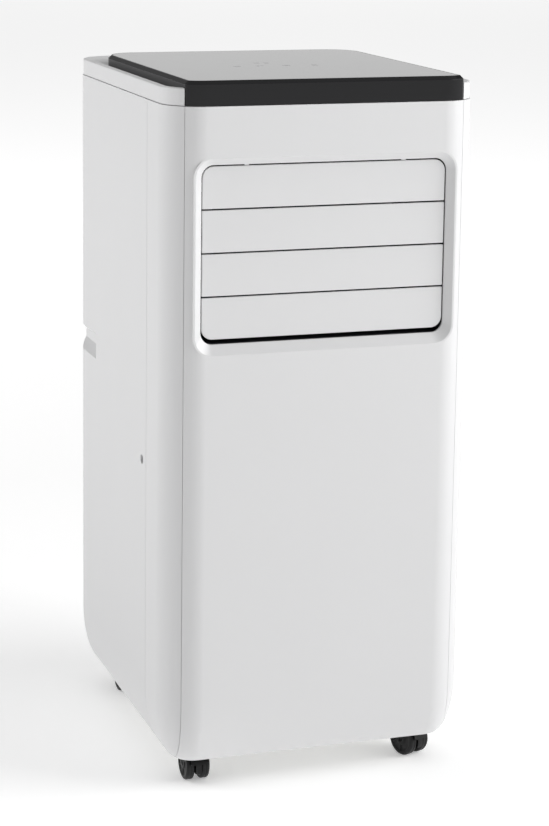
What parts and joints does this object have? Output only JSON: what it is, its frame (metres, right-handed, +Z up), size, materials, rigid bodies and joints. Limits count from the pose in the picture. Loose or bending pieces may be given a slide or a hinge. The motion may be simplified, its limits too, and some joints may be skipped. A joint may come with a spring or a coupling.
{
  "type": "portable air conditioner",
  "caption": "Slim upright portable air conditioner on four casters, with a louvred front outlet, black touch top, rear intakes and a round exhaust socket",
  "frame": {"origin": "on the floor, under the middle of the body", "axes": "+Z up, the air outlet faces -Y, +X is to the right seen from the front"},
  "size_m": [0.314, 0.364, 0.7],
  "materials": {
    "white_panel": "smooth satin white, ABS",
    "white_casing": "fine-textured white ABS",
    "louvre_white": "smooth satin white, ABS",
    "duct_grey": "dark moulded plastic",
    "control_black": "polished black",
    "touch_glass": "black printed glass-like top, polished",
    "board_green": "circuit board",
    "fan_plastic": "glass-filled plastic",
    "motor_steel": "zinc-plated steel",
    "copper": "drawn copper tube",
    "coil_fins": "aluminium fins",
    "compressor_black": "black painted steel",
    "rubber": "black rubber",
    "filter_mesh": "woven filter mesh",
    "screw_steel": "plated steel",
    "caster_plastic": "black nylon",
    "foam_white": "white moulded plastic"
  },
  "bodies": {
    "body": {"front_panel": "white_panel", "front_casing": "white_casing", "rear_casing": "white_casing", "top_cover": "white_casing", "base_pan": "foam_white", "control_housing": "control_black", "touch_glass": "touch_glass", "control_board": "board_green", "swing_motor": "motor_steel", "outlet_duct": "duct_grey", "upper_fan_housing": "foam_white", "upper_fan_motor": "motor_steel", "lower_fan_housing": "foam_white", "lower_fan_motor": "motor_steel", "evaporator_coil": "coil_fins", "condenser_coil": "coil_fins", "compressor": "compressor_black", "compressor_mounts": "rubber", "accumulator": "compressor_black", "suction_pipe": "copper", "discharge_pipe": "copper", "liquid_line": "copper", "mid_deck": "foam_white", "drip_tray": "foam_white", "exhaust_duct": "foam_white", "exhaust_collar": "duct_grey", "lower_intake_grille": "white_casing", "cable_gland": "rubber", "casing_screws": "screw_steel", "electrical_box": "motor_steel", "run_capacitor": "motor_steel"},
    "louvre_1": {"louvre_1": "louvre_white"},
    "louvre_2": {"louvre_2": "louvre_white"},
    "louvre_3": {"louvre_3": "louvre_white"},
    "louvre_4": {"louvre_4": "louvre_white"},
    "louvre_link": {"louvre_link": "duct_grey"},
    "swing_crank": {"swing_crank": "duct_grey"},
    "vane_1": {"vane_1": "duct_grey"},
    "vane_2": {"vane_2": "duct_grey"},
    "vane_3": {"vane_3": "duct_grey"},
    "vane_4": {"vane_4": "duct_grey"},
    "vane_link": {"vane_link": "duct_grey"},
    "upper_fan": {"upper_fan_wheel": "fan_plastic", "upper_fan_shaft": "motor_steel"},
    "lower_fan": {"lower_fan_wheel": "fan_plastic", "lower_fan_shaft": "motor_steel"},
    "upper_grille": {"upper_intake_grille": "white_casing", "air_filter": "filter_mesh"},
    "tray_plug": {"tray_drain_plug": "rubber"},
    "pan_plug": {"pan_drain_plug": "rubber"},
    "caster_front_left": {"caster_fork_front_left": "caster_plastic"},
    "wheels_front_left": {"caster_wheels_front_left": "caster_plastic"},
    "caster_front_right": {"caster_fork_front_right": "caster_plastic"},
    "wheels_front_right": {"caster_wheels_front_right": "caster_plastic"},
    "caster_rear_left": {"caster_fork_rear_left": "caster_plastic"},
    "wheels_rear_left": {"caster_wheels_rear_left": "caster_plastic"},
    "caster_rear_right": {"caster_fork_rear_right": "caster_plastic"},
    "wheels_rear_right": {"caster_wheels_rear_right": "caster_plastic"}
  },
  "joints": [
    {"name": "louvre_1_tilt", "type": "hinge", "parent": "body", "child": "louvre_1", "pos_m": [0, -0.166, 0.5991], "axis": [1, 0, 0], "range_deg": [0, 65]},
    {"name": "louvre_2_tilt", "type": "hinge", "parent": "body", "child": "louvre_2", "pos_m": [0, -0.166, 0.5574], "axis": [1, 0, 0], "range_deg": [0, 65]},
    {"name": "louvre_3_tilt", "type": "hinge", "parent": "body", "child": "louvre_3", "pos_m": [0, -0.166, 0.5157], "axis": [1, 0, 0], "range_deg": [0, 65]},
    {"name": "louvre_4_tilt", "type": "hinge", "parent": "body", "child": "louvre_4", "pos_m": [0, -0.166, 0.474], "axis": [1, 0, 0], "range_deg": [0, 65]},
    {"name": "louvre_link_turn", "type": "hinge", "parent": "louvre_1", "child": "louvre_link", "pos_m": [0.131, -0.156, 0.5991], "axis": [1, 0, 0], "range_deg": [-65, 0]},
    {"name": "swing_crank_turn", "type": "hinge", "parent": "body", "child": "swing_crank", "pos_m": [0.13, -0.12, 0.536], "axis": [1, 0, 0], "range_deg": [0, 65]},
    {"name": "vane_1_turn", "type": "hinge", "parent": "body", "child": "vane_1", "pos_m": [-0.093, -0.132, 0.53], "axis": [0, 0, 1], "range_deg": [-35, 35]},
    {"name": "vane_2_turn", "type": "hinge", "parent": "body", "child": "vane_2", "pos_m": [-0.031, -0.132, 0.53], "axis": [0, 0, 1], "range_deg": [-35, 35]},
    {"name": "vane_3_turn", "type": "hinge", "parent": "body", "child": "vane_3", "pos_m": [0.031, -0.132, 0.53], "axis": [0, 0, 1], "range_deg": [-35, 35]},
    {"name": "vane_4_turn", "type": "hinge", "parent": "body", "child": "vane_4", "pos_m": [0.093, -0.132, 0.53], "axis": [0, 0, 1], "range_deg": [-35, 35]},
    {"name": "vane_link_turn", "type": "hinge", "parent": "vane_1", "child": "vane_link", "pos_m": [-0.093, -0.122, 0.609], "axis": [0, 0, 1], "range_deg": [-35, 35]},
    {"name": "upper_fan_spin", "type": "hinge", "parent": "body", "child": "upper_fan", "pos_m": [0, -0.08, 0.3725], "axis": [0, 1, 0], "continuous": true},
    {"name": "lower_fan_spin", "type": "hinge", "parent": "body", "child": "lower_fan", "pos_m": [0.02, 0.07, 0.165], "axis": [0, 1, 0], "continuous": true},
    {"name": "upper_grille_open", "type": "hinge", "parent": "body", "child": "upper_grille", "pos_m": [0, 0.18075, 0.4637], "axis": [-1, 0, 0], "range_deg": [0, 60]},
    {"name": "tray_plug_pull", "type": "slide", "parent": "body", "child": "tray_plug", "axis": [0, 1, 0], "range_m": [0, 0.03]},
    {"name": "pan_plug_pull", "type": "slide", "parent": "body", "child": "pan_plug", "axis": [0, 1, 0], "range_m": [0, 0.03]},
    {"name": "swivel_front_left", "type": "hinge", "parent": "body", "child": "caster_front_left", "pos_m": [-0.114, -0.127, 0.045], "axis": [0, 0, 1], "continuous": true},
    {"name": "roll_front_left", "type": "hinge", "parent": "caster_front_left", "child": "wheels_front_left", "pos_m": [-0.114, -0.134, 0.017], "axis": [1, 0, 0], "continuous": true},
    {"name": "swivel_front_right", "type": "hinge", "parent": "body", "child": "caster_front_right", "pos_m": [0.114, -0.127, 0.045], "axis": [0, 0, 1], "continuous": true},
    {"name": "roll_front_right", "type": "hinge", "parent": "caster_front_right", "child": "wheels_front_right", "pos_m": [0.11639, -0.13358, 0.017], "axis": [0.9397, 0.342, 0], "continuous": true},
    {"name": "swivel_rear_left", "type": "hinge", "parent": "body", "child": "caster_rear_left", "pos_m": [-0.114, 0.127, 0.045], "axis": [0, 0, 1], "continuous": true},
    {"name": "roll_rear_left", "type": "hinge", "parent": "caster_rear_left", "child": "wheels_rear_left", "pos_m": [-0.114, 0.12, 0.017], "axis": [1, 0, 0], "continuous": true},
    {"name": "swivel_rear_right", "type": "hinge", "parent": "body", "child": "caster_rear_right", "pos_m": [0.114, 0.127, 0.045], "axis": [0, 0, 1], "continuous": true},
    {"name": "roll_rear_right", "type": "hinge", "parent": "caster_rear_right", "child": "wheels_rear_right", "pos_m": [0.11104, 0.12066, 0.017], "axis": [0.9063, -0.4226, 0], "continuous": true}
  ],
  "couplings": [
    {"joint": "louvre_2_tilt", "follows": "louvre_1_tilt", "ratio": 1},
    {"joint": "louvre_3_tilt", "follows": "louvre_1_tilt", "ratio": 1},
    {"joint": "louvre_4_tilt", "follows": "louvre_1_tilt", "ratio": 1},
    {"joint": "louvre_link_turn", "follows": "louvre_1_tilt", "ratio": -1},
    {"joint": "swing_crank_turn", "follows": "louvre_1_tilt", "ratio": 1},
    {"joint": "vane_2_turn", "follows": "vane_1_turn", "ratio": 1},
    {"joint": "vane_3_turn", "follows": "vane_1_turn", "ratio": 1},
    {"joint": "vane_4_turn", "follows": "vane_1_turn", "ratio": 1},
    {"joint": "vane_link_turn", "follows": "vane_1_turn", "ratio": -1}
  ]
}
